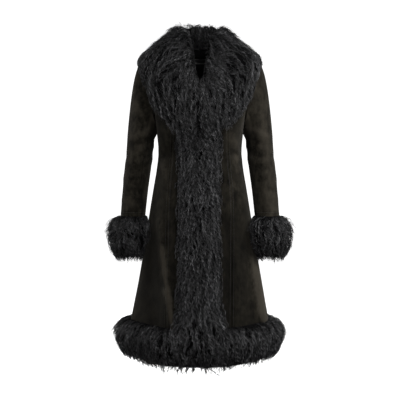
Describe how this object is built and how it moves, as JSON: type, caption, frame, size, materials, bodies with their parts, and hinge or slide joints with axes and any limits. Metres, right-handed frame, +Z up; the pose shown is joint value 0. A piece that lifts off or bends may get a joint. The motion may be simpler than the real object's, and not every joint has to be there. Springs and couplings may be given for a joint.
{
  "type": "fur-trimmed suede coat",
  "caption": "Fitted, flared knee-length suede coat worn open-necked, hollow and filled out, with a wide curly lambskin collar, front edges, hem and cuffs.",
  "frame": {"origin": "middle of the neck at the height of the two neck points, where the wearer's shoulders carry the coat", "axes": "+Z up along the coat, +X to the wearer's left, -Y out of the front"},
  "size_m": [0.6112, 0.4672, 1.1065],
  "materials": {
    "suede": "suede",
    "fur": "curly long fur",
    "lining": "satin lining",
    "tape": "woven tape"
  },
  "bodies": {
    "root": {"back_left": "suede", "back_lining": "lining", "back_right": "suede", "collar_fur_left": "fur", "collar_fur_right": "fur", "cuff_fur_left": "fur", "cuff_fur_right": "fur", "front_fur_left": "fur", "front_fur_right": "fur", "front_left": "suede", "front_right": "suede", "hanger_tape": "tape", "hem_fur_back": "fur", "hem_fur_left": "fur", "hem_fur_right": "fur", "side_front_left": "suede", "side_front_right": "suede", "under_sleeve_left": "suede", "under_sleeve_right": "suede", "upper_sleeve_left": "suede", "upper_sleeve_right": "suede"}
  },
  "joints": []
}
